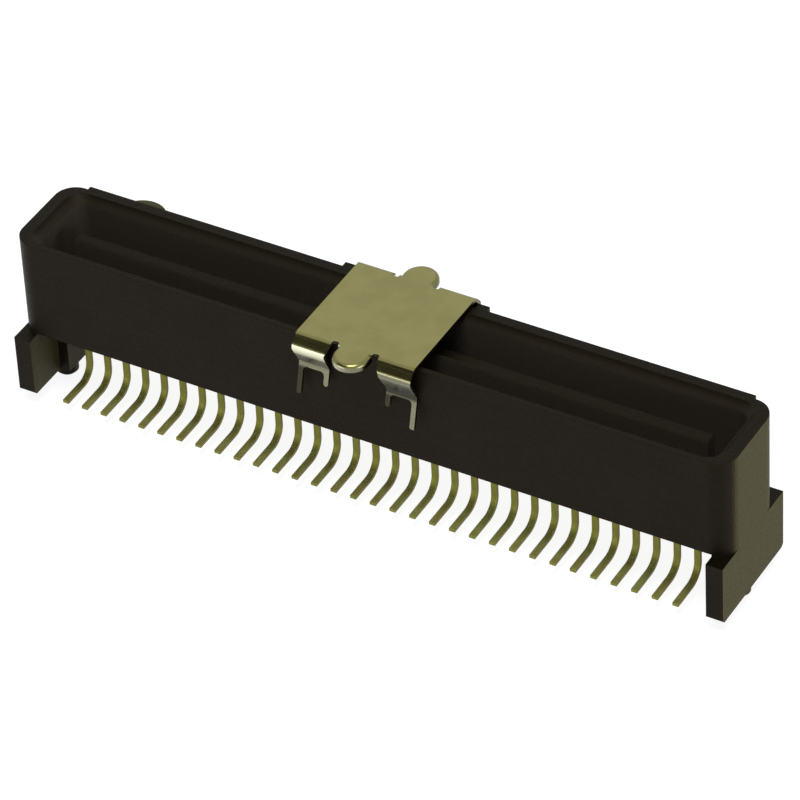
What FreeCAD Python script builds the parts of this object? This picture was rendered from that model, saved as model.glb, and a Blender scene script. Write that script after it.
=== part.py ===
import FreeCAD, Part
import math
import os

import Sketcher

# A surface-mount board-to-board header with two rows of contacts, in millimetres.
# X runs along the rows, +Y points to the rear wall with the rail, +Z points away from the board.
# The origin is halfway between the two locating pegs, on the surface of the board.

# Driving dimensions: name, value, meaning.
SIZES = [
    # Contact rows
    ("contact_count", 32, "contacts in each of the two rows"),
    ("contact_spacing", 1.0, "from one contact to the next along a row"),
    # Housing, outside
    ("end_margin", 2.37, "from the last contact to the end face"),
    ("body_width", 4.72, "over the two long walls, without the rail"),
    ("housing_top", 8.26, "height of the rim above the board"),
    ("corner_radius", 1.0, "upright outer corners of the shroud"),
    ("rail_end_gap", 1.13, "from the end face to the end of the rail"),
    ("rail_proud", 0.22, "how far the rail stands out of the rear wall"),
    ("key_from_end", 4.31, "from the end face to the middle of the rounded key"),
    ("key_radius", 1.2, "rounding of the key"),
    ("key_proud", 0.3, "how far the key stands out of the rail"),
    # Feet and pegs
    ("foot_height", 3.1, "from the board to the ledge on a foot"),
    ("foot_width", 5.81, "over a foot plate, across the rows"),
    ("foot_thickness", 0.82, "foot plate along the rows"),
    ("foot_chamfer", 0.15, "at the lower ends of a foot plate"),
    ("block_proud", 0.5, "block on a foot's inner side, along the rows"),
    ("block_width", 1.5, "block on a foot's inner side, across the rows"),
    ("underside_recess", 0.12, "from a foot's ledge up to the housing's underside"),
    ("peg_inset", 0.69, "from the end face to a peg's axis"),
    ("peg_radius", 0.53, "locating peg"),
    ("peg_length", 0.65, "how far a peg reaches into the board"),
    ("peg_chamfer", 0.15, "at a peg's tip"),
    # Housing, inside
    ("side_lip", 0.28, "flat rim on a long wall"),
    ("end_lip", 0.58, "flat rim on an end wall"),
    ("lead_in", 0.35, "bevel inside the rim"),
    ("cavity_radius", 0.6, "upright inner corners"),
    ("floor_thickness", 1.4, "between the cavity and the underside"),
    ("tongue_width", 0.64, "tongue across the rows"),
    ("tongue_overhang", 0.4, "from the last contact to the tongue's end"),
    ("tongue_drop", 0.72, "from the rim down to the tongue's top"),
    ("tongue_bevel", 0.1, "along the tongue's top edges"),
    ("groove_depth", 0.1, "contact groove in a side of the tongue"),
    ("slot_play", 0.02, "play beside a contact in its slot"),
    # Contacts
    ("strip_thickness", 0.15, "sheet that the contacts are stamped from"),
    ("contact_width", 0.3, "contact along the rows"),
    ("blade_top", 6.52, "height of a contact's top on the tongue"),
    ("lead_offset", 0.585, "from the middle to an upright lead's centre line"),
    ("jog_height", 3.92, "where a contact steps outwards inside the floor"),
    ("lead_reach", 2.76, "from the middle to a lead's tip"),
    ("lead_bend", 0.8, "bend of a lead along its centre line"),
    # Pick-up cap
    ("sheet_thickness", 0.15, "sheet that the cap is pressed from"),
    ("cap_length", 5.9, "cap along the rows"),
    ("cap_play", 0.02, "play between the cap and each wall it grips"),
    ("plate_rise", 0.11, "from the rim up to the plate of the cap, which its grip holds there"),
    ("plate_overhang", 0.165, "from the gripping line out to where the flanges bend down"),
    ("flange_root", 0.1, "flat stretch of a flange before that bend"),
    ("shoulder_out", 0.6, "how far a flange bulges past the gripping line"),
    ("shoulder_drop", 0.47, "from the plate down to the bulge"),
    ("waist_drop", 1.6, "from the plate down to the gripping line"),
    ("leg_flare", 0.42, "how far a leg's tip stands out of the gripping line"),
    ("leg_drop", 3.12, "from the plate down to the outer legs' tips"),
    ("short_leg_drop", 2.42, "from the plate down to the inner legs' tips"),
    ("leg_taper", 0.08, "at the tip of a leg"),
    ("window_drop", 1.8, "from the plate down to the window between two legs"),
    ("window_radius", 0.2, "upper corners of that window"),
    ("leg_width", 0.23, "leg of a flange"),
    ("flange_start", 1.17, "from the middle of the cap to a flange, at the plate"),
    ("shoulder_start", 1.35, "from the middle of the cap to a flange, at the bulge"),
    ("leg_start", 1.43, "from the middle of the cap to an inner leg"),
    ("plate_bend", 0.2, "bend between the plate and a flange, along its centre line"),
    ("shoulder_bend", 0.26, "bend at the bulge, along its centre line"),
    ("waist_bend", 0.25, "bend at the gripping line, along its centre line"),
    ("tab_radius", 0.84, "round tab in the middle of a long side"),
    ("tab_length", 1.18, "from the flanges' bend line out to a tab's tip"),
    ("tab_lip", 0.2, "how far a tab's rim is turned down"),
    ("tab_bend", 0.14, "bend of a tab's rim, along its centre line"),
    ("notch_depth", 0.17, "relief notch beside a tab, in from the bend line"),
    ("notch_radius", 0.12, "corners of that notch"),
    # Ribs that keep the cap in the middle
    ("rib_gap", 0.13, "between the cap and a rib"),
    ("rib_width", 0.55, "rib on the rail, along the rows"),
    ("rib_proud", 0.3, "how far a rib stands out of the rail"),
]

doc = FreeCAD.newDocument("board_header")
sheet = doc.addObject("Spreadsheet::Sheet", "sizes")
for row, (name, value, meaning) in enumerate(SIZES, start=1):
    sheet.set("A%d" % row, name)
    sheet.set("B%d" % row, str(value))
    sheet.set("C%d" % row, meaning)
    sheet.setAlias("B%d" % row, name)
doc.recompute()

# Places that follow from the driving dimensions, as expressions on the sheet.
ROW_LENGTH = "((sizes.contact_count - 1) * sizes.contact_spacing)"
END = "(" + ROW_LENGTH + " / 2 + sizes.end_margin)"
BODY_SIDE = "(sizes.body_width / 2)"
RAIL_SIDE = "(" + BODY_SIDE + " + sizes.rail_proud)"
RAIL_END = "(" + END + " - sizes.rail_end_gap)"
UNDERSIDE = "(sizes.foot_height + sizes.underside_recess)"
FLOOR = "(" + UNDERSIDE + " + sizes.floor_thickness)"
FOOT_INNER = "(" + END + " - sizes.foot_thickness)"
FOOT_SIDE = "(sizes.foot_width / 2)"
RIM_END = "(" + END + " - sizes.end_lip)"
RIM_SIDE = "(" + BODY_SIDE + " - sizes.side_lip)"
CAVITY_END = "(" + RIM_END + " - sizes.lead_in)"
CAVITY_SIDE = "(" + RIM_SIDE + " - sizes.lead_in)"
TONGUE_END = "(" + ROW_LENGTH + " / 2 + sizes.tongue_overhang)"
TONGUE_SIDE = "(sizes.tongue_width / 2)"
TONGUE_TOP = "(sizes.housing_top - sizes.tongue_drop)"
GROOVE_BED = "(" + TONGUE_SIDE + " - sizes.groove_depth)"
BLADE_LINE = "(" + GROOVE_BED + " + sizes.strip_thickness / 2)"
BLADE_OUTSIDE = "(" + GROOVE_BED + " + sizes.strip_thickness)"
LEAD_OUTSIDE = "(sizes.lead_offset + sizes.strip_thickness / 2)"
JOG_TOP = "(sizes.jog_height + sizes.strip_thickness / 2)"
SOLE_LINE = "(sizes.strip_thickness / 2)"
CAP_HALF = "(sizes.cap_length / 2)"
PLATE_LINE = "(sizes.sheet_thickness / 2)"
GRIP_LINE = "(" + BODY_SIDE + " + sizes.rail_proud / 2 + sizes.cap_play + " + PLATE_LINE + ")"
BEND_LINE = "(" + GRIP_LINE + " + sizes.plate_overhang)"
PLATE_EDGE = "(" + BEND_LINE + " - sizes.flange_root)"
LEG_TIP = "(" + PLATE_LINE + " - sizes.leg_drop)"
SHORT_TIP = "(" + PLATE_LINE + " - sizes.short_leg_drop)"
INNER_LEG_END = "(sizes.leg_start + sizes.leg_width)"
OUTER_LEG_START = "(" + CAP_HALF + " - sizes.leg_width)"
TAB_CENTRE = "(" + BEND_LINE + " + sizes.tab_length - sizes.tab_radius)"
NOTCH_BOTTOM = "(" + BEND_LINE + " - sizes.notch_depth)"
RIB_START = "(" + CAP_HALF + " + sizes.rib_gap)"


def number(expression):
    """The present value of an expression on the sheet."""
    return float(sheet.evalExpression(expression))


def minus(expression):
    """The same distance on the other side."""
    return "(-1 * " + expression + ")"


def origin_part(body, role):
    """One of the body's own origin planes or axes."""
    return next(part for part in body.Origin.OriginFeatures if part.Role == role)


def add_body(name):
    """An empty body under its plain name."""
    body = doc.addObject("PartDesign::Body", name)
    body.Label = name
    return body


def add_sketch(body, name, plane, offset="0"):
    """An empty sketch on an origin plane of the body, moved along the plane's normal."""
    sketch = body.newObject("Sketcher::SketchObject", name)
    sketch.AttachmentSupport = [(origin_part(body, plane), "")]
    sketch.MapMode = "FlatFace"
    sketch.setExpression("AttachmentOffset.Base.z", offset)
    return sketch


def bind(sketch, kind, *where_and_expression):
    """Add a dimension to a sketch and tie it to an expression."""
    *where, expression = where_and_expression
    index = sketch.addConstraint(Sketcher.Constraint(kind, *where, number(expression)))
    sketch.setExpression("Constraints[%d]" % index, expression)


def join(sketch, kind, *where):
    """Add a relation between elements of a sketch."""
    sketch.addConstraint(Sketcher.Constraint(kind, *where))


def bind_point(sketch, element, end, corner):
    """Tie a point of a sketch to a corner's two coordinates."""
    bind(sketch, "DistanceX", element, end, corner[0])
    bind(sketch, "DistanceY", element, end, corner[1])


def draw_line(sketch, corners, closed):
    """Straight stretches through the corners, open or closed.

    A corner is a pair of expressions. A third one rounds it by an arc of that radius, tangent
    to the stretches on both sides.
    """
    points = [FreeCAD.Vector(number(corner[0]), number(corner[1]), 0) for corner in corners]
    if closed:
        points.append(points[0])
    ways = [(end - start).normalize() for start, end in zip(points, points[1:])]
    inner = range(0 if closed else 1, len(ways))

    reach = [0.0] * len(points)
    for k in inner:
        if len(corners[k]) == 3:
            reach[k] = number(corners[k][2]) * math.tan(ways[k - 1].getAngle(ways[k]) / 2)
    if closed:
        reach[-1] = reach[0]
    lines = []
    for k, way in enumerate(ways):
        start = points[k] + way * reach[k]
        end = points[k + 1] - way * reach[k + 1]
        lines.append(sketch.addGeometry(Part.LineSegment(start, end), False))

    for k in inner:
        before, after = lines[k - 1], lines[k]
        if len(corners[k]) == 2:
            join(sketch, "Coincident", before, 2, after, 1)
            bind_point(sketch, after, 1, corners[k])
            continue
        start = points[k] - ways[k - 1] * reach[k]
        end = points[k] + ways[k] * reach[k]
        radius = number(corners[k][2])
        inward = (ways[k] - ways[k - 1]).normalize()
        middle = points[k] + inward * (math.hypot(radius, reach[k]) - radius)
        arc = sketch.addGeometry(Part.Arc(start, middle, end), False)
        turns_left = ways[k - 1].cross(ways[k]).z > 0
        near, far = (1, 2) if turns_left else (2, 1)
        corner = sketch.addGeometry(Part.Point(points[k]), True)
        join(sketch, "PointOnObject", corner, 1, before)
        join(sketch, "PointOnObject", corner, 1, after)
        join(sketch, "Tangent", before, 2, arc, near)
        join(sketch, "Tangent", arc, far, after, 1)
        bind_point(sketch, corner, 1, corners[k])
        bind(sketch, "Radius", arc, corners[k][2])
    if not closed:
        bind_point(sketch, lines[0], 1, corners[0])
        bind_point(sketch, lines[-1], 2, corners[-1])


def draw_outline(sketch, *corners):
    """A closed outline."""
    draw_line(sketch, corners, True)


def draw_rectangle(sketch, low_x, high_x, low_y, high_y, *radius):
    """A rectangle between two pairs of expressions, with rounded corners if a radius is given."""
    corners = [(low_x, low_y), (high_x, low_y), (high_x, high_y), (low_x, high_y)]
    draw_line(sketch, [(*corner, *radius) for corner in corners], True)


def draw_circle(sketch, x, y, radius):
    """A circle whose centre and radius are expressions."""
    centre = FreeCAD.Vector(number(x), number(y), 0)
    circle = Part.Circle(centre, FreeCAD.Vector(0, 0, 1), number(radius))
    index = sketch.addGeometry(circle, False)
    bind_point(sketch, index, 3, (x, y))
    bind(sketch, "Radius", index, radius)


def add_feature(body, kind, name, sketch):
    """A feature of the body that starts from a sketch."""
    feature = body.newObject("PartDesign::" + kind, name)
    feature.Profile = (sketch, [""])
    return feature


def pad(body, name, sketch, length, centred=False):
    """Add material from a sketch, along its normal or to both sides of it."""
    feature = add_feature(body, "Pad", name, sketch)
    feature.SideType = "Symmetric" if centred else "One side"
    feature.setExpression("Length", length)
    return feature


def pocket(body, name, sketch, length, centred=False):
    """Take material away from a sketch, against its normal or to both sides of it."""
    feature = add_feature(body, "Pocket", name, sketch)
    feature.SideType = "Symmetric" if centred else "One side"
    feature.setExpression("Length", length)
    return feature


def sweep(body, name, profile, path):
    """Add material by moving a profile along a path."""
    feature = add_feature(body, "AdditivePipe", name, profile)
    feature.Spine = (path, [""])
    feature.Transition = "Right corner"
    return feature


def revolve(body, name, sketch, angle):
    """Add material by turning a profile round the sketch's upright axis."""
    feature = add_feature(body, "Revolution", name, sketch)
    feature.ReferenceAxis = (sketch, ["V_Axis"])
    feature.Angle = angle
    return feature


def mirror(body, name, originals, plane):
    """Repeat features on the other side of an origin plane."""
    feature = body.newObject("PartDesign::Mirrored", name)
    feature.Originals = originals
    feature.MirrorPlane = (origin_part(body, plane), [""])
    body.Tip = feature
    return feature


def build_housing():
    """The moulded housing: shroud, tongue, floor with contact slots, feet and pegs."""
    body = add_body("housing")

    outline = add_sketch(body, "outline", "XY_Plane", "sizes.foot_height")
    draw_rectangle(outline, minus(END), END, minus(BODY_SIDE), BODY_SIDE, "sizes.corner_radius")
    pad(body, "shroud", outline, "sizes.housing_top - sizes.foot_height")

    above_foot = "sizes.housing_top - sizes.foot_height"
    rail = add_sketch(body, "rail_outline", "XY_Plane", "sizes.foot_height")
    draw_rectangle(rail, minus(RAIL_END), RAIL_END, "0", RAIL_SIDE)
    pad(body, "rail", rail, above_foot)

    ribs = add_sketch(body, "rib_outlines", "XY_Plane", "sizes.foot_height")
    rib_end = RIB_START + " + sizes.rib_width"
    rib_side = RAIL_SIDE + " + sizes.rib_proud"
    draw_rectangle(ribs, RIB_START, rib_end, "0", rib_side)
    draw_rectangle(ribs, minus("(" + rib_end + ")"), minus(RIB_START), "0", rib_side)
    pad(body, "ribs", ribs, above_foot)

    key = add_sketch(body, "key_outline", "XY_Plane", "sizes.foot_height")
    key_middle = RAIL_SIDE + " + sizes.key_proud - sizes.key_radius"
    draw_circle(key, "sizes.key_from_end - " + END, key_middle, "sizes.key_radius")
    pad(body, "key", key, above_foot)

    recess = add_sketch(body, "recess_outline", "XY_Plane", UNDERSIDE)
    draw_rectangle(recess, minus(FOOT_INNER), FOOT_INNER, "-sizes.foot_width", "sizes.foot_width")
    pocket(body, "underside", recess, "sizes.underside_recess")

    cavity = add_sketch(body, "cavity_outline", "XY_Plane", "sizes.housing_top")
    draw_rectangle(cavity, minus(CAVITY_END), CAVITY_END, minus(CAVITY_SIDE), CAVITY_SIDE,
                   "sizes.cavity_radius")
    pocket(body, "cavity", cavity, "sizes.housing_top - " + FLOOR)

    bevel_top = add_sketch(body, "bevel_top", "XY_Plane", "sizes.housing_top")
    draw_rectangle(bevel_top, minus(RIM_END), RIM_END, minus(RIM_SIDE), RIM_SIDE,
                   "sizes.cavity_radius + sizes.lead_in")
    bevel_bottom = add_sketch(body, "bevel_bottom", "XY_Plane", "sizes.housing_top - sizes.lead_in")
    draw_rectangle(bevel_bottom, minus(CAVITY_END), CAVITY_END, minus(CAVITY_SIDE), CAVITY_SIDE,
                   "sizes.cavity_radius")
    bevel = add_feature(body, "SubtractiveLoft", "bevel", bevel_top)
    bevel.Sections = [(bevel_bottom, [""])]
    bevel.Ruled = True

    tongue = add_sketch(body, "tongue_section", "YZ_Plane")
    shoulder = TONGUE_SIDE + " - sizes.tongue_bevel"
    bevel_height = TONGUE_TOP + " - sizes.tongue_bevel"
    draw_outline(tongue,
                 (minus(TONGUE_SIDE), FLOOR), (TONGUE_SIDE, FLOOR),
                 (TONGUE_SIDE, bevel_height), (shoulder, TONGUE_TOP),
                 (minus("(" + shoulder + ")"), TONGUE_TOP), (minus(TONGUE_SIDE), bevel_height))
    pad(body, "tongue", tongue, "2 * " + TONGUE_END, centred=True)

    slot = add_sketch(body, "slot_section", "YZ_Plane", minus(ROW_LENGTH) + " / 2")
    blade_side = BLADE_OUTSIDE + " + sizes.slot_play"
    profile = [(GROOVE_BED, UNDERSIDE), (LEAD_OUTSIDE, UNDERSIDE), (LEAD_OUTSIDE, JOG_TOP),
               (blade_side, JOG_TOP), (blade_side, "sizes.blade_top"),
               (GROOVE_BED, "sizes.blade_top")]
    draw_outline(slot, *profile)
    draw_outline(slot, *[(minus("(" + y + ")"), z) for y, z in profile])
    slots = pocket(body, "slot", slot, "sizes.contact_width + 2 * sizes.slot_play", centred=True)
    row = body.newObject("PartDesign::LinearPattern", "slots")
    row.Originals = [slots]
    row.Direction = (origin_part(body, "X_Axis"), [""])
    row.setExpression("Length", ROW_LENGTH)
    row.setExpression("Occurrences", "sizes.contact_count")
    body.Tip = row

    foot = add_sketch(body, "foot_section", "YZ_Plane", FOOT_INNER)
    chamfer_side = FOOT_SIDE + " - sizes.foot_chamfer"
    draw_outline(foot,
                 (minus("(" + chamfer_side + ")"), "0"), (chamfer_side, "0"),
                 (FOOT_SIDE, "sizes.foot_chamfer"), (FOOT_SIDE, "sizes.foot_height"),
                 (minus(FOOT_SIDE), "sizes.foot_height"), (minus(FOOT_SIDE), "sizes.foot_chamfer"))
    foot_pad = pad(body, "foot", foot, "sizes.foot_thickness")

    block = add_sketch(body, "block_section", "YZ_Plane", FOOT_INNER + " - sizes.block_proud")
    draw_rectangle(block, "-sizes.block_width / 2", "sizes.block_width / 2", "0", UNDERSIDE)
    block_pad = pad(body, "block", block, "sizes.block_proud")

    peg = add_sketch(body, "peg_section", "XZ_Plane")
    peg.setExpression("AttachmentOffset.Base.x", END + " - sizes.peg_inset")
    draw_outline(peg,
                 ("0", "0"), ("0", "-sizes.peg_length"),
                 ("sizes.peg_radius - sizes.peg_chamfer", "-sizes.peg_length"),
                 ("sizes.peg_radius", "sizes.peg_chamfer - sizes.peg_length"),
                 ("sizes.peg_radius", "0"))
    peg_turn = revolve(body, "peg", peg, 360)
    mirror(body, "feet", [foot_pad, block_pad, peg_turn], "YZ_Plane")
    return body


def build_contact():
    """One contact of the near row, for the middle of the rows: blade, step, lead and foot."""
    body = add_body("near_contact")
    path = add_sketch(body, "contact_path", "YZ_Plane")
    draw_line(path, [
        (minus(BLADE_LINE), "sizes.blade_top"),
        (minus(BLADE_LINE), "sizes.jog_height"),
        ("-sizes.lead_offset", "sizes.jog_height"),
        ("-sizes.lead_offset", SOLE_LINE, "sizes.lead_bend"),
        ("-sizes.lead_reach", SOLE_LINE),
    ], False)
    section = add_sketch(body, "contact_section", "XY_Plane", "sizes.blade_top")
    draw_rectangle(section, "-sizes.contact_width / 2", "sizes.contact_width / 2",
                   minus(BLADE_OUTSIDE), minus(GROOVE_BED))
    sweep(body, "contact_strip", section, path)
    return body


def build_cap():
    """The pick-up cap: plate, two round tabs and four flanges that end in two legs each."""
    body = add_body("pickup_cap")
    body.setExpression("Placement.Base.y", "sizes.rail_proud / 2")
    body.setExpression("Placement.Base.z", "sizes.housing_top + sizes.plate_rise")

    plate = add_sketch(body, "plate_outline", "XY_Plane")
    draw_rectangle(plate, minus(CAP_HALF), CAP_HALF, minus(PLATE_EDGE), PLATE_EDGE)
    pad(body, "plate", plate, "sizes.sheet_thickness")

    path = add_sketch(body, "flange_path", "YZ_Plane")
    draw_line(path, [
        (PLATE_EDGE, PLATE_LINE),
        (BEND_LINE, PLATE_LINE, "sizes.plate_bend"),
        (GRIP_LINE + " + sizes.shoulder_out", PLATE_LINE + " - sizes.shoulder_drop",
         "sizes.shoulder_bend"),
        (GRIP_LINE, PLATE_LINE + " - sizes.waist_drop", "sizes.waist_bend"),
        (GRIP_LINE + " + sizes.leg_flare", LEG_TIP),
    ], False)
    section = add_sketch(body, "flange_section", "XZ_Plane", minus(PLATE_EDGE))
    draw_rectangle(section, "sizes.flange_start", CAP_HALF, "0", "sizes.sheet_thickness")
    flange = sweep(body, "flange", section, path)

    rim = add_sketch(body, "tab_section", "XZ_Plane", minus(TAB_CENTRE))
    outer_bend = "sizes.tab_bend + " + PLATE_LINE
    inside = "sizes.tab_radius - sizes.sheet_thickness"
    draw_outline(rim,
                 ("0", "0"), (inside, "0"), (inside, "-sizes.tab_lip"),
                 ("sizes.tab_radius", "-sizes.tab_lip"),
                 ("sizes.tab_radius", "sizes.sheet_thickness", outer_bend),
                 ("0", "sizes.sheet_thickness"))
    side = pad(body, "tab_side", rim, TAB_CENTRE + " - " + BEND_LINE)

    root = add_sketch(body, "tab_root_outline", "XY_Plane")
    draw_rectangle(root, "0", "sizes.tab_radius", PLATE_EDGE, BEND_LINE)
    root_pad = pad(body, "tab_root", root, "sizes.sheet_thickness")

    quarters = body.newObject("PartDesign::MultiTransform", "four_corners")
    quarters.Originals = [flange, side, root_pad]
    planes = []
    for name, plane in (("left_right", "YZ_Plane"), ("near_rear", "XZ_Plane")):
        half = body.newObject("PartDesign::Mirrored", name)
        half.MirrorPlane = (origin_part(body, plane), [""])
        planes.append(half)
    quarters.Transformations = planes
    body.Tip = quarters
    doc.recompute()

    tip = revolve(body, "tab_tip", rim, 180)
    mirror(body, "tab_tips", [tip], "XZ_Plane")

    notch = add_sketch(body, "notch_outline", "XY_Plane", "sizes.sheet_thickness")
    draw_outline(notch,
                 ("sizes.tab_radius", NOTCH_BOTTOM, "sizes.notch_radius"),
                 ("sizes.flange_start", NOTCH_BOTTOM, "sizes.notch_radius"),
                 ("sizes.flange_start", BEND_LINE), ("sizes.tab_radius", BEND_LINE))
    notch_cut = pocket(body, "notch", notch, "sizes.sheet_thickness")

    legs = add_sketch(body, "leg_outlines", "XZ_Plane")
    below = LEG_TIP + " - sizes.sheet_thickness"
    draw_outline(legs,
                 ("sizes.flange_start", "0"),
                 ("sizes.shoulder_start", PLATE_LINE + " - sizes.shoulder_drop"),
                 ("sizes.leg_start", PLATE_LINE + " - sizes.waist_drop"),
                 ("sizes.leg_start", SHORT_TIP + " + sizes.leg_taper"),
                 ("sizes.leg_start + sizes.leg_taper", SHORT_TIP),
                 (INNER_LEG_END + " - sizes.leg_taper", SHORT_TIP),
                 (INNER_LEG_END, SHORT_TIP + " + sizes.leg_taper"),
                 (INNER_LEG_END, PLATE_LINE + " - sizes.window_drop", "sizes.window_radius"),
                 (OUTER_LEG_START, PLATE_LINE + " - sizes.window_drop", "sizes.window_radius"),
                 (OUTER_LEG_START, LEG_TIP + " + sizes.leg_taper"),
                 (OUTER_LEG_START + " + sizes.leg_taper", LEG_TIP),
                 (OUTER_LEG_START + " + sizes.leg_taper", below),
                 ("sizes.flange_start", below))
    leg_cut = pocket(body, "leg_cutout", legs, "2 * (" + BEND_LINE + " + sizes.shoulder_out)", centred=True)

    cuts = body.newObject("PartDesign::MultiTransform", "four_cutouts")
    cuts.Originals = [notch_cut, leg_cut]
    planes = []
    for name, plane in (("cut_left_right", "YZ_Plane"), ("cut_near_rear", "XZ_Plane")):
        half = body.newObject("PartDesign::Mirrored", name)
        half.MirrorPlane = (origin_part(body, plane), [""])
        planes.append(half)
    cuts.Transformations = planes
    body.Tip = cuts
    return body


def build_contact_pairs(near):
    """The near contact and its mirrored twin, repeated along the rows."""
    rear = doc.addObject("Part::Mirroring", "rear_contact")
    rear.Source = near
    rear.Normal = FreeCAD.Vector(0, 1, 0)
    pairs = []
    for place in range(int(number("sizes.contact_count"))):
        name = "contact_pair_%02d" % (place + 1)
        pair = doc.addObject("Part::Compound", name)
        pair.Label = name
        pair.Links = [near, rear]
        pair.setExpression("Placement.Base.x", "%d * sizes.contact_spacing - %s / 2" % (place, ROW_LENGTH))
        pairs.append(pair)
    return pairs


housing = build_housing()
doc.recompute()
near_contact = build_contact()
doc.recompute()
pickup_cap = build_cap()
contact_pairs = build_contact_pairs(near_contact)
doc.recompute()

for item in doc.Objects:
    if "Invalid" in item.State or "Error" in item.State:
        raise RuntimeError("%s could not be built: %s" % (item.Label, item.State))

os.makedirs("parts", exist_ok=True)
for node in [housing, pickup_cap, *contact_pairs]:
    if node.Shape.isNull() or not node.Shape.isValid():
        raise RuntimeError("%s has no sound shape" % node.Label)
    node.Shape.exportStep(os.path.join("parts", node.Label + ".step"))
    print(node.Label, len(node.Shape.Solids), "solids,", round(node.Shape.Volume, 3), "mm3")
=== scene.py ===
# %% [markdown]
# # A board-to-board pin header on a white table
#
# The object is a connector that is soldered flat onto a circuit board: a dark moulded housing with two
# rows of plated contacts, and a sheet-metal cap clipped over its mouth, so that a suction nozzle can pick
# it up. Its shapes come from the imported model. This script gives them their finishes and sets up the
# light and the camera. Everything is in metres, with X along the rows, +Y to the rear wall and +Z up.

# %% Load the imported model
import math

import bpy
import numpy as np
from mathutils import Matrix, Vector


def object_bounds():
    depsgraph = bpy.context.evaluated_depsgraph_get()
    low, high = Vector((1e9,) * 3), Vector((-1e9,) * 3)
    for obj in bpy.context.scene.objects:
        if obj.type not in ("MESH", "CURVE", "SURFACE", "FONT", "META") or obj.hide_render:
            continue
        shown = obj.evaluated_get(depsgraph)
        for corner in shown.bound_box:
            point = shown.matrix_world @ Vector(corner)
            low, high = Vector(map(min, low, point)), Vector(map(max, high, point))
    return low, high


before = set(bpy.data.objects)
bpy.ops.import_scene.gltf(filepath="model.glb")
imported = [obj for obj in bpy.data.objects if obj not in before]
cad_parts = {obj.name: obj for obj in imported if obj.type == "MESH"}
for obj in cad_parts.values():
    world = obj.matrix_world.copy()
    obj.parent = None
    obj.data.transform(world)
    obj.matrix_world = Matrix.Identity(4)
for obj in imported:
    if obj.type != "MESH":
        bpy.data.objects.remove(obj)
cad_low, cad_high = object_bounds()
MM = 0.001
print("nodes in the frame:", len(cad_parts))
print("size in mm:", ["%.2f" % ((high - low) / MM) for low, high in zip(cad_low, cad_high)])

# %% [markdown]
# ## Camera
#
# The photograph was taken with a long lens, from the front right and from above, slightly tilted. Its
# place could be found by trial. Here the numbers were fitted instead: the lead tips are 1 mm apart, so
# where they fall in the picture gives the direction, the distance and the lens. A camera looks along its
# own -Z, so its matrix is made of three unit vectors, right, up and back, and of its place.

# %% Camera
AZIMUTH, ELEVATION, ROLL = (math.radians(angle) for angle in (31.40, 39.274, -3.194))
DISTANCE = 244.210 * MM
OFFSET_RIGHT, OFFSET_UP = 0.293 * MM, 2.941 * MM
SENSOR, FOCAL_PIXELS, FRAME_PIXELS = 36.0, 5486.2, 800
NEAREST_SEEN, FARTHEST_SEEN = 0.001, 10.0


def towards(azimuth, elevation):
    """The unit vector from the part to something at these angles: 0 is the front, 90 degrees is +X."""
    return np.array([math.sin(azimuth) * math.cos(elevation),
                     -math.cos(azimuth) * math.cos(elevation),
                     math.sin(elevation)])


def right_and_up(back):
    """The unit vectors to the right, kept level, and up, for a thing that looks against back."""
    level = np.cross([0, 0, 1], back)
    level /= np.linalg.norm(level)
    return level, np.cross(back, level)


def set_up(name, data, right, up, back, place):
    """Put a camera or a lamp into the scene at a place, turned to the three unit vectors."""
    matrix = np.eye(4)
    matrix[:3, 0], matrix[:3, 1], matrix[:3, 2], matrix[:3, 3] = right, up, back, place
    made = bpy.data.objects.new(name, data)
    made.matrix_world = Matrix(matrix.tolist())
    bpy.context.scene.collection.objects.link(made)
    return made


back = towards(AZIMUTH, ELEVATION)
level, upright = right_and_up(back)
right = math.cos(ROLL) * level + math.sin(ROLL) * upright
up = math.cos(ROLL) * upright - math.sin(ROLL) * level

lens = bpy.data.cameras.new("camera")
lens.sensor_width = SENSOR
lens.lens = FOCAL_PIXELS * SENSOR / FRAME_PIXELS
lens.clip_start, lens.clip_end = NEAREST_SEEN, FARTHEST_SEEN
camera_place = back * DISTANCE + right * OFFSET_RIGHT + up * OFFSET_UP
bpy.context.scene.camera = set_up("camera", lens, right, up, back, camera_place)
print("lens: %.1f mm, camera at" % lens.lens, camera_place.round(3))

# %% [markdown]
# ## Colours as written
#
# Blender's own view transform, AgX, softens bright colours and greys the whites, which suits a sunny
# landscape. This scene has to show a colour as it is written and white paper as white, so it uses the
# Standard one.

# %% View transform
bpy.context.scene.view_settings.view_transform = "Standard"
print("view transform:", bpy.context.scene.view_settings.view_transform)

# %% [markdown]
# ## Nodes
#
# A material is a small graph of nodes, and so is a sky. Such a graph could be drawn by hand. In a script,
# `node` adds a node and fills its inputs, each with a plain value or with another node's output, which
# makes the link. An input is named, or counted where a node has several of one name. An output knows its
# own graph, as `id_data`, so most helpers take outputs and no graph. A mask is an output that is 1 where
# something lies and 0 elsewhere, and `combine` joins several masks.


# %% Node helpers
def node(tree, kind, inputs=None, **properties):
    """Add a shader node with its properties; an input takes a value or another node's output."""
    made = tree.nodes.new("ShaderNode" + kind)
    for name, value in properties.items():
        setattr(made, name, value)
    for name, value in (inputs or {}).items():
        if isinstance(value, bpy.types.NodeSocket):
            tree.links.new(value, made.inputs[name])
        else:
            made.inputs[name].default_value = value
    return made


def parts_of(vector):
    """The X, Y and Z parts of a vector."""
    return node(vector.id_data, "SeparateXYZ", {"Vector": vector}).outputs


def combine(operation, masks):
    """Join masks into one: MULTIPLY keeps what all of them show, MAXIMUM what any of them shows."""
    joined, *others = masks
    for other in others:
        joined = node(joined.id_data, "Math", {0: joined, 1: other}, operation=operation).outputs[0]
    return joined


print("kinds of shader node:", sum(name.startswith("ShaderNode") for name in dir(bpy.types)))

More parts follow.
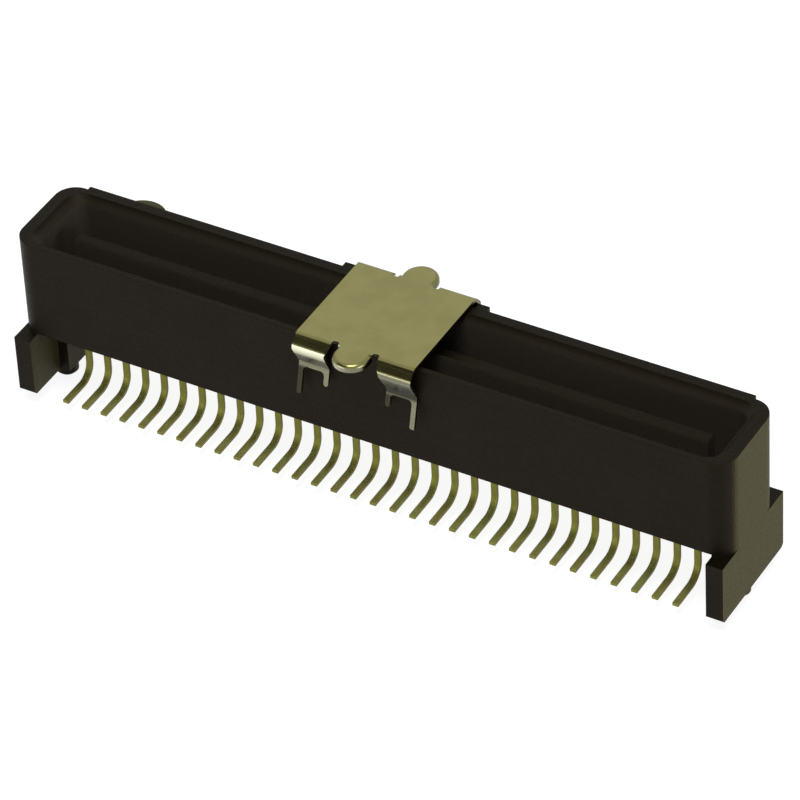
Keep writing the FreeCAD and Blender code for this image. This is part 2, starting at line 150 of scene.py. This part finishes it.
# %% [markdown]
# ## Sky
#
# The photograph's ground is pure white. If the light on the object had to make it so, the object would
# be too bright. Instead, Light Path tells the rays apart: those from the camera, and those that leave a
# shiny surface, find a white sky, so the metal mirrors what the camera sees behind it. All others find a
# dim sky, which fills the shadows and grows brighter from the front to the rear.

# %% Sky
WHITE = (1, 1, 1, 1)
FRONT_SKY, REAR_SKY = 0.03, 0.30
SKY_FRONT, SKY_REAR = -0.7, 1.0


def show_and_light(tree, shown, lighting, output_kind):
    """Show one shader to the camera and in mirrors, and let the other one light the object."""
    path = node(tree, "LightPath")
    rays = ("Is Camera Ray", "Is Glossy Ray", "Is Transmission Ray")
    sees_white = combine("MAXIMUM", [path.outputs[name] for name in rays])
    choice = node(tree, "MixShader", {0: sees_white, 1: lighting.outputs[0], 2: shown.outputs[0]})
    node(tree, output_kind, {"Surface": choice.outputs[0]})


world = bpy.data.worlds.new("studio")
bpy.context.scene.world = world
world.use_nodes = True
sky = world.node_tree
sky.nodes.clear()
rearward = parts_of(node(sky, "TexCoord").outputs["Generated"])["Y"]
brightness = node(sky, "MapRange", {
    "Value": rearward, "From Min": SKY_FRONT, "From Max": SKY_REAR,
    "To Min": FRONT_SKY, "To Max": REAR_SKY}).outputs["Result"]
dim_sky = node(sky, "Background", {"Color": WHITE, "Strength": brightness})
white_sky = node(sky, "Background", {"Color": WHITE, "Strength": 1.0})
show_and_light(sky, white_sky, dim_sky, "OutputWorld")
print("sky: %.2f in front, %.2f at the rear" % (FRONT_SKY, REAR_SKY))

# %% [markdown]
# ## Table
#
# The table is a large square under the pegs. To the camera and in mirrors it is mostly a glow that is
# nearly white on its own, with a share of plain paper added, so that the part's shadow still shows
# faintly. Every other ray finds plain pale paper, which throws light up at the walls as a real table does.

# %% Table
TABLE_HALF = 1.5
PAPER, PAPER_SHARE, GLOW = 0.8, 0.25, 0.90
CORNERS = [(-1, -1), (1, -1), (1, 1), (-1, 1)]


def new_material(name):
    """An empty material and its tree."""
    material = bpy.data.materials.new(name)
    material.use_nodes = True
    material.node_tree.nodes.clear()
    return material, material.node_tree


def flat_square(name, corners, material):
    """An object of one four-sided face with the given corners and material."""
    mesh = bpy.data.meshes.new(name)
    mesh.from_pydata(corners, [], [(0, 1, 2, 3)])
    mesh.materials.append(material)
    made = bpy.data.objects.new(name, mesh)
    bpy.context.scene.collection.objects.link(made)
    return made


white_table, tree = new_material("white_table")
paper, faint_paper = (node(tree, "BsdfDiffuse", {"Color": (grey, grey, grey, 1)})
                      for grey in (PAPER, PAPER_SHARE))
glow = node(tree, "Emission", {"Color": WHITE, "Strength": GLOW})
glowing_paper = node(tree, "AddShader", {0: faint_paper.outputs[0], 1: glow.outputs[0]})
show_and_light(tree, glowing_paper, paper, "OutputMaterial")
table_corners = [(x * TABLE_HALF, y * TABLE_HALF, cad_low[2]) for x, y in CORNERS]
table = flat_square("table_top", table_corners, white_table)
print("table: %.1f m square, %.2f mm below the feet" % (2 * TABLE_HALF, -cad_low[2] / MM))

# %% [markdown]
# ## Dark card
#
# In the photograph, the strips just under the plate's near edge are dark, though all round them is white.
# They slope outwards, and mirror whatever stands at the front left, above the table, most likely a dark
# part of the room. A black card does the same here. It stands to the left of the camera and much farther
# away, out of the picture.

# %% Dark card
CARD_AZIMUTH, CARD_ELEVATION, CARD_DISTANCE = math.radians(-36), math.radians(40), 0.80
CARD_WIDTH, CARD_HEIGHT = 0.90, 0.46
BLACK_PAPER, BLACK_PAPER_ROUGHNESS = (0.12, 0.12, 0.10, 1), 0.9

card_back = towards(CARD_AZIMUTH, CARD_ELEVATION)
card_right, card_up = right_and_up(card_back)
card_corners = [tuple(card_back * CARD_DISTANCE + card_right * x * CARD_WIDTH / 2
                      + card_up * y * CARD_HEIGHT / 2) for x, y in CORNERS]
black_card, tree = new_material("black_card")
shader = node(tree, "BsdfPrincipled", {"Base Color": BLACK_PAPER, "Roughness": BLACK_PAPER_ROUGHNESS})
node(tree, "OutputMaterial", {"Surface": shader.outputs["BSDF"]})
card = flat_square("dark_card", card_corners, black_card)
print("card: %.2f x %.2f m" % (CARD_WIDTH, CARD_HEIGHT))

# %% [markdown]
# ## Lamps
#
# A panel above and a little in front lights the near wall and the inside of the shroud. The cap's flat
# plate mirrors a wide, dim panel behind it on the left. A low one at the front left makes the white line
# along the bends of the cap's flanges, and another low one, on the right, reaches the end face and the
# feet. A rectangle lamp shines along its own -Z, so its matrix is made like the camera's.

# %% Lamps
# Each panel has a name, a place and a width and height in metres, and a power in watts.
PANELS = [
    ("panel_above", (0.06, -0.11, 0.45), (0.25, 0.20), 1.45),
    ("panel_rear_left", (-0.24, 0.40, 0.36), (0.42, 0.36), 0.18),
    ("panel_low", (-0.25, -0.42, 0.03), (0.30, 0.08), 0.45),
    ("panel_right", (0.40, -0.07, 0.05), (0.20, 0.10), 0.45),
]

for name, place, size, power in PANELS:
    lamp = bpy.data.lights.new(name, "AREA")
    lamp.shape = "RECTANGLE"
    lamp.size, lamp.size_y = size
    lamp.energy = power
    away = np.array(place) / np.linalg.norm(place)
    set_up(name, lamp, *right_and_up(away), away, place)
    print("%s: %.2f W" % (name, power))

# %% [markdown]
# ## Shared effects
#
# Three finishes follow, and all are made of the same few effects: a fine grain, broad patches, and lines
# that run one way. An image texture could carry them. Noise textures are used instead, because they need
# no picture and stay sharp from any distance. Each effect is a node group with inputs, so a material
# places it with its own numbers. A noise texture hardly ever reaches 0 or 1, so `spread` stretches the
# part of its range that it does reach.

# %% Node groups
# Each pair is the detail and the roughness of a noise, or the part of its range that is used.
GRAIN_NOISE, PATCH_NOISE, LINE_NOISE = (3.0, 0.6), (4.0, 0.55), (4.0, 0.65)
GRAIN_RANGE, PATCH_RANGE, LINE_RANGE = (0.32, 0.68), (0.34, 0.66), (0.3, 0.7)


def new_group(name, inputs, outputs):
    """A node group: each input has a name, a type and a value, and each output, a number, has a name."""
    group = bpy.data.node_groups.new(name, "ShaderNodeTree")
    for title, kind, value in inputs:
        socket = group.interface.new_socket(title, in_out="INPUT", socket_type="NodeSocket" + kind)
        if value is not None:
            socket.default_value = value
    for title in outputs:
        group.interface.new_socket(title, in_out="OUTPUT", socket_type="NodeSocketFloat")
    return group, group.nodes.new("NodeGroupInput").outputs, group.nodes.new("NodeGroupOutput").inputs


def noise(place, scale, detail, roughness):
    """A noise texture on the given coordinates."""
    return node(place.id_data, "TexNoise", {
        "Vector": place, "Scale": scale, "Detail": detail, "Roughness": roughness}).outputs["Fac"]


def spread(value, start, end):
    """Stretch the part of a value between start and end to 0 to 1, smoothly at both ends."""
    return node(value.id_data, "MapRange", {"Value": value, "From Min": start, "From Max": end},
                interpolation_type="SMOOTHSTEP").outputs["Result"]


grain_group, inside, outside = new_group(
    "grain_and_patches",
    [("Place", "Vector", None), ("Grains per mm", "Float", 8.0), ("Patches per mm", "Float", 0.4)],
    ["Grain", "Patches"])
grain = noise(inside["Place"], inside["Grains per mm"], *GRAIN_NOISE)
patches = noise(inside["Place"], inside["Patches per mm"], *PATCH_NOISE)
grain_group.links.new(spread(grain, *GRAIN_RANGE), outside["Grain"])
grain_group.links.new(spread(patches, *PATCH_RANGE), outside["Patches"])

lines_group, inside, outside = new_group(
    "rolling_lines",
    [("Place", "Vector", None), ("Stretch", "Vector", (1.0, 0.05, 1.0)), ("Lines per mm", "Float", 12.0)],
    ["Lines"])
pulled = node(lines_group, "VectorMath", {0: inside["Place"], 1: inside["Stretch"]}, operation="MULTIPLY")
lines = noise(pulled.outputs["Vector"], inside["Lines per mm"], *LINE_NOISE)
lines_group.links.new(spread(lines, *LINE_RANGE), outside["Lines"])
print("groups:", [group.name for group in bpy.data.node_groups])

# %% [markdown]
# ## Where a tone lies
#
# Some faces are paler, darker or more olive than others: most of these tones are painted light, shade,
# sheen or highlight, and a few are darker places on the sheet. Such tones could be painted by hand. Here
# the place on the piece and the way a face looks, each put through `spread`, give masks that need no
# picture.
# Object coordinates are in metres, so a Mapping node turns them into millimetres, and all places can be
# thought of in millimetres. The soft edge of a mask is then a pair of numbers: where the mask is 0 and
# where it is 1.


# %% Place and facing
def millimetres(tree):
    """The place on the piece, in millimetres."""
    metres = node(tree, "TexCoord").outputs["Object"]
    return node(tree, "Mapping", {"Vector": metres, "Scale": (1 / MM, 1 / MM, 1 / MM)}).outputs["Vector"]


def facing(tree):
    """The X, Y and Z parts of the direction in which a face looks."""
    return parts_of(node(tree, "NewGeometry").outputs["True Normal"])


def size_of(value):
    """A value without its sign."""
    return node(value.id_data, "Math", {0: value}, operation="ABSOLUTE").outputs[0]


def mix_colours(mask, first, second):
    """The first colour where the mask is 0 and the second where it is 1; each may be an output."""
    first, second = (colour if isinstance(colour, bpy.types.NodeSocket) else (*colour, 1)
                     for colour in (first, second))
    return node(mask.id_data, "Mix", {0: mask, 6: first, 7: second}, data_type="RGBA").outputs[2]


def mix_values(tree, share, first, second):
    """The same for two numbers, by a share that may be a mask or a plain number."""
    return node(tree, "Mix", {0: share, 2: first, 3: second}, data_type="FLOAT").outputs[0]


print("one unit of the Object coordinates: %.0f mm" % (1 / MM))

# %% [markdown]
# ## The shader of a finish
#
# Each finish ends the same way: a colour, a gloss and a relief go into a Principled BSDF. The relief is
# too fine to be worth modelling, so a Bump node gives it to the light alone. Real moulded and stamped
# edges are never quite sharp, and edges that were would catch no highlight, so a Bevel node rounds them,
# again for the light alone. The cap does without it: its bends are round in the model itself.

# %% Finish helpers
BEVEL_SAMPLES = 4


def rescale(value, low, high):
    """Turn a value of 0 to 1 into one of low to high."""
    return node(value.id_data, "MapRange", {
        "Value": value, "To Min": low, "To Max": high}).outputs["Result"]


def relief(height, depth, edge=0):
    """A relief of the given depth in mm, over edges that are rounded by the given radius in mm."""
    inputs = {"Height": height, "Strength": 1.0, "Distance": depth * MM}
    if edge:
        rounded = node(height.id_data, "Bevel", {"Radius": edge * MM}, samples=BEVEL_SAMPLES)
        inputs["Normal"] = rounded.outputs["Normal"]
    return node(height.id_data, "Bump", inputs).outputs["Normal"]


def dress(nodes, material, inputs):
    """Close a material with a shader of the given inputs, and give it to the named CAD nodes."""
    tree = material.node_tree
    shader = node(tree, "BsdfPrincipled", inputs)
    node(tree, "OutputMaterial", {"Surface": shader.outputs["BSDF"]})
    for name in nodes:
        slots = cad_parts[name].data.materials
        slots.clear()
        slots.append(material)
    print("%s: %d shader nodes, on %d CAD nodes" % (material.name, len(tree.nodes), len(nodes)))


print("rounded edges: %d samples each" % BEVEL_SAMPLES)

# %% [markdown]
# ## Moulded plastic: the marks of the mould
#
# The housing is a dark brown, nearly black plastic filled with glass fibre. Flowing into the mould leaves
# three marks: a fine grain in the skin, long faint streaks along the rows where the fibres lay down, and
# broad cloudy patches. A plain dark colour would look like a hole in the picture, so the streaks and the
# patches vary the colour a little, and the grain varies the gloss. The faces that look up, such as the
# rim, get a darker colour, which is painted shade against the bright sky that they mirror.

# %% Moulded plastic, marks
DARK_PLASTIC, LIGHT_PLASTIC = (0.0078, 0.0053, 0.0038), (0.0112, 0.0079, 0.0054)
# Painted shade: the faces that look up are coloured darker than the rest.
UPPER_PAINTED_SHADE = (0.0040, 0.0028, 0.0013)
LOOKS_UP = (0.35, 0.6)
STREAK_SHARE = 0.5

moulded_plastic, tree = new_material("moulded_plastic")
place = millimetres(tree)
skin = node(tree, "Group", {"Place": place, "Grains per mm": 9.0, "Patches per mm": 0.35},
            node_tree=grain_group).outputs
streaks = node(tree, "Group", {"Place": place, "Stretch": (0.12, 1.0, 1.0), "Lines per mm": 3.0},
               node_tree=lines_group).outputs["Lines"]
marks = mix_values(tree, STREAK_SHARE, skin["Patches"], streaks)
look = facing(tree)
upper_face = spread(look["Z"], *LOOKS_UP)
# The faces that look up take the painted shade.
moulded = mix_colours(upper_face, mix_colours(marks, DARK_PLASTIC, LIGHT_PLASTIC), UPPER_PAINTED_SHADE)
print("marks of the mould: %d shader nodes" % len(tree.nodes))

# %% [markdown]
# ## Moulded plastic: painted light by place
#
# The walls inside the shroud are coloured lighter, which is painted light on their shade. The end faces,
# the inner sides of the feet and the top of the key get a lighter olive colour: a painted sheen on the end
# faces, painted light on the shaded inner sides of the feet, and a painted highlight on the top of the
# key.
# Each of these is one mask, made of the place and the facing, and its colour is laid over the one before.

# %% Moulded plastic, painted light
# Painted light inside the shroud, and a painted sheen on the end faces.
INNER_PAINTED_LIGHT, END_PAINTED_SHEEN = (0.0660, 0.0550, 0.0430), (0.0530, 0.0440, 0.0070)
# Painted light on the inner sides of the feet, and a painted highlight on the top of the key.
FOOT_PAINTED_LIGHT, KEY_PAINTED_HIGHLIGHT = (0.0420, 0.0360, 0.0160), (0.0650, 0.0620, 0.0300)
CAVITY_SIDE, CAVITY_END, CAVITY_FLOOR = (2.1, 1.8), (17.3, 17.0), (4.4, 4.6)
END_WALL, INSIDE_END_WALL, BELOW_FOOT_TOP = (17.4, 17.5), (17.5, 17.4), (3.1, 3.0)
KEY_STRETCH, KEY_HEIGHT, BEYOND_RAIL = (-11.0, -11.5), (8.0, 8.2), (2.48, 2.68)
WALL_LOOKS_LEVEL, LOOKS_ALONG = (0.9, 0.3), (0.90, 1.0)
PLASTIC_ROUGHNESS, GRAIN_DEPTH, PLASTIC_EDGE = (0.40, 0.52), 0.006, 0.035
SHINE, SHINE_TINT = 0.08, (1.0, 0.85, 0.48, 1)

spot = parts_of(place)
from_centre, from_middle = size_of(spot["X"]), size_of(spot["Y"])
inner_wall = combine("MULTIPLY", [
    spread(from_middle, *CAVITY_SIDE), spread(from_centre, *CAVITY_END),
    spread(spot["Z"], *CAVITY_FLOOR), spread(size_of(look["Z"]), *WALL_LOOKS_LEVEL)])
looks_along = spread(size_of(look["X"]), *LOOKS_ALONG)
end_face = combine("MULTIPLY", [spread(from_centre, *END_WALL), looks_along])
foot_side = combine("MULTIPLY", [
    spread(from_centre, *INSIDE_END_WALL), spread(spot["Z"], *BELOW_FOOT_TOP), looks_along])
key_top = combine("MULTIPLY", [
    spread(spot["Z"], *KEY_HEIGHT), spread(spot["X"], *KEY_STRETCH),
    spread(spot["Y"], *BEYOND_RAIL), upper_face])
tone = moulded
# Each painted light, sheen or highlight is laid over the moulded colour.
for mask, colour in ((inner_wall, INNER_PAINTED_LIGHT), (end_face, END_PAINTED_SHEEN),
                     (foot_side, FOOT_PAINTED_LIGHT), (key_top, KEY_PAINTED_HIGHLIGHT)):
    tone = mix_colours(mask, tone, colour)
dress(["housing"], moulded_plastic, {
    "Base Color": tone, "Roughness": rescale(skin["Grain"], *PLASTIC_ROUGHNESS),
    "Specular IOR Level": SHINE, "Specular Tint": SHINE_TINT,
    "Normal": relief(skin["Grain"], GRAIN_DEPTH, PLASTIC_EDGE)})

# %% [markdown]
# ## Cap sheet: rolled lines and painted reflection
#
# The cap is pressed from thin, satin nickel-coloured sheet with a faint olive tone. Rolling the sheet
# leaves fine lines along its length, and handling leaves cloudy patches. The faces that look aside, the
# bends and the legs, get a paler and less olive colour, a painted reflection of the whiter light that they
# mirror. The bulges of the left flanges get a near-white painted highlight, and are duller than the rest.

# %% Cap sheet, rolled lines and painted reflection
SHEET, DULL_SHEET = (0.197, 0.185, 0.073), (0.177, 0.166, 0.063)
# A painted reflection on the faces that look aside, and a painted highlight on the left bulges.
ASIDE_PAINTED_TONE, BULGE_PAINTED_HIGHLIGHT = (0.20, 0.192, 0.128), (0.78, 0.77, 0.57)
LOOKS_ASIDE, LEFT_FLANGES, BULGE = (0.55, 0.30), (0.5, -1.5), (7.4, 7.7)
SHEET_ROUGHNESS, BULGE_ROUGHNESS = (0.20, 0.28), 0.42

cap_sheet, tree = new_material("cap_sheet")
place = millimetres(tree)
spot, look = parts_of(place), facing(tree)
patches = node(tree, "Group", {"Place": place, "Grains per mm": 14.0, "Patches per mm": 0.7},
               node_tree=grain_group).outputs["Patches"]
rolled = node(tree, "Group", {"Place": place, "Stretch": (0.05, 1.0, 1.0), "Lines per mm": 9.0},
              node_tree=lines_group).outputs["Lines"]
side_face = spread(look["Z"], *LOOKS_ASIDE)
left_bulges = combine("MULTIPLY", [
    spread(spot["X"], *LEFT_FLANGES), spread(spot["Z"], *BULGE), side_face])
# The painted reflection and, on the left bulges, the painted highlight.
painted_reflection = mix_colours(left_bulges, ASIDE_PAINTED_TONE, BULGE_PAINTED_HIGHLIGHT)
gloss = mix_values(tree, left_bulges, rescale(rolled, *SHEET_ROUGHNESS), BULGE_ROUGHNESS)
print("rolled and rubbed: %d shader nodes" % len(tree.nodes))

# %% [markdown]
# ## Cap sheet: darker places, painted shade and sheared edges
#
# The lower part of the right flanges above their legs is coloured darker, which is painted shade for the
# shaded wall and table that it mirrors. The left leg of each flange and the corners of the notches are
# coloured darker too. Those legs lie equally far from one middle line, so a single distance finds them.
# The sheared edges are darker than the sheet. They look straight along X, and on the cap only the sides
# of the round tabs' rims do so too.

# %% Cap sheet, darker places, painted shade and edges
# One dark colour: painted shade on the right flanges' lower part, and darker legs and notch corners.
DARK_SPOTS_AND_PAINTED_SHADE, SHEARED = (0.046, 0.044, 0.030), (0.12, 0.115, 0.05)
RIGHT_FLANGES, BELOW_BULGE = (0.5, 1.0), (7.9, 6.75)
ABOVE_LEGS, LEG_HEIGHT = (6.55, 6.75), (6.75, 6.55)
NOTCH_START, NOTCH_END = (0.85, 0.90), (1.22, 1.17)
LEGS_MIDDLE, DARKER_LEG_DISTANCE, LEG_REACH = -0.645, 2.19, 0.4
SHEARED_LOOKS_ALONG, ROLLED_DEPTH = (0.80, 0.98), 0.0005

# The mask of the painted shade on the right flanges' lower part.
right_panel_shade = combine("MULTIPLY", [
    spread(spot["X"], *RIGHT_FLANGES), spread(spot["Z"], *BELOW_BULGE), spread(spot["Z"], *ABOVE_LEGS)])
to_the_right = node(tree, "Math", {0: spot["X"], 1: LEGS_MIDDLE}, operation="SUBTRACT").outputs[0]
at_left_leg = node(tree, "Math", {0: size_of(to_the_right), 1: DARKER_LEG_DISTANCE, 2: LEG_REACH},
                   operation="COMPARE").outputs[0]
left_legs = combine("MULTIPLY", [at_left_leg, spread(spot["Z"], *LEG_HEIGHT)])
from_centre = size_of(spot["X"])
notches = combine("MULTIPLY", [spread(from_centre, *NOTCH_START), spread(from_centre, *NOTCH_END)])
# The painted shade and the darker places, over the painted reflection.
aside_painted_tones = mix_colours(combine("MAXIMUM", [right_panel_shade, left_legs, notches]), painted_reflection, DARK_SPOTS_AND_PAINTED_SHADE)
sheet = mix_colours(side_face, mix_colours(patches, DULL_SHEET, SHEET), aside_painted_tones)
sheared = spread(size_of(look["X"]), *SHEARED_LOOKS_ALONG)
dress(["pickup_cap"], cap_sheet, {
    "Base Color": mix_colours(sheared, sheet, SHEARED), "Roughness": gloss, "Metallic": 1.0,
    "Normal": relief(rolled, ROLLED_DEPTH)})

# %% [markdown]
# ## Contact plating
#
# Each contact is stamped from bronze strip and plated with a thin layer of gold, which looks olive in
# this light. The plating is a satin one, cloudy from contact to contact. The upright stretch and the bend
# are coloured darker, which is painted shade for the shaded table under the housing that they mirror.
# The plating is thinner on the sheared sides, where the bronze shows through. All 64 contacts share one
# material, because Object coordinates give each of them its own stretch of the pattern.

# %% Contact plating
PLATED, DULL_PLATED = (0.35, 0.36, 0.112), (0.305, 0.285, 0.085)
# Painted shade on the upright stretch and the bend; bronze on the sheared sides.
UPRIGHT_PAINTED_SHADE, BRONZE = (0.205, 0.205, 0.045), (0.207, 0.185, 0.066)
CONTACT_LOOKS_LEVEL, PLATING_ROUGHNESS = (0.97, 0.75), (0.55, 0.68)
DRAWN_DEPTH, CONTACT_EDGE = 0.001, 0.03

contact_plating, tree = new_material("contact_plating")
place, look = millimetres(tree), facing(tree)
patches = node(tree, "Group", {"Place": place, "Grains per mm": 18.0, "Patches per mm": 1.3},
               node_tree=grain_group).outputs["Patches"]
drawn = node(tree, "Group", {"Place": place, "Stretch": (1.0, 0.08, 0.08), "Lines per mm": 14.0},
             node_tree=lines_group).outputs["Lines"]
tone = mix_colours(patches, DULL_PLATED, PLATED)
# The upright stretch and the bend take the painted shade.
tone = mix_colours(spread(size_of(look["Z"]), *CONTACT_LOOKS_LEVEL), tone, UPRIGHT_PAINTED_SHADE)
tone = mix_colours(spread(size_of(look["X"]), *SHEARED_LOOKS_ALONG), tone, BRONZE)
dress([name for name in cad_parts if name.startswith("contact_pair")], contact_plating, {
    "Base Color": tone, "Roughness": rescale(drawn, *PLATING_ROUGHNESS), "Metallic": 1.0,
    "Normal": relief(drawn, DRAWN_DEPTH, CONTACT_EDGE)})

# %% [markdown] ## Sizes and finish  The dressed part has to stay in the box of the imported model.
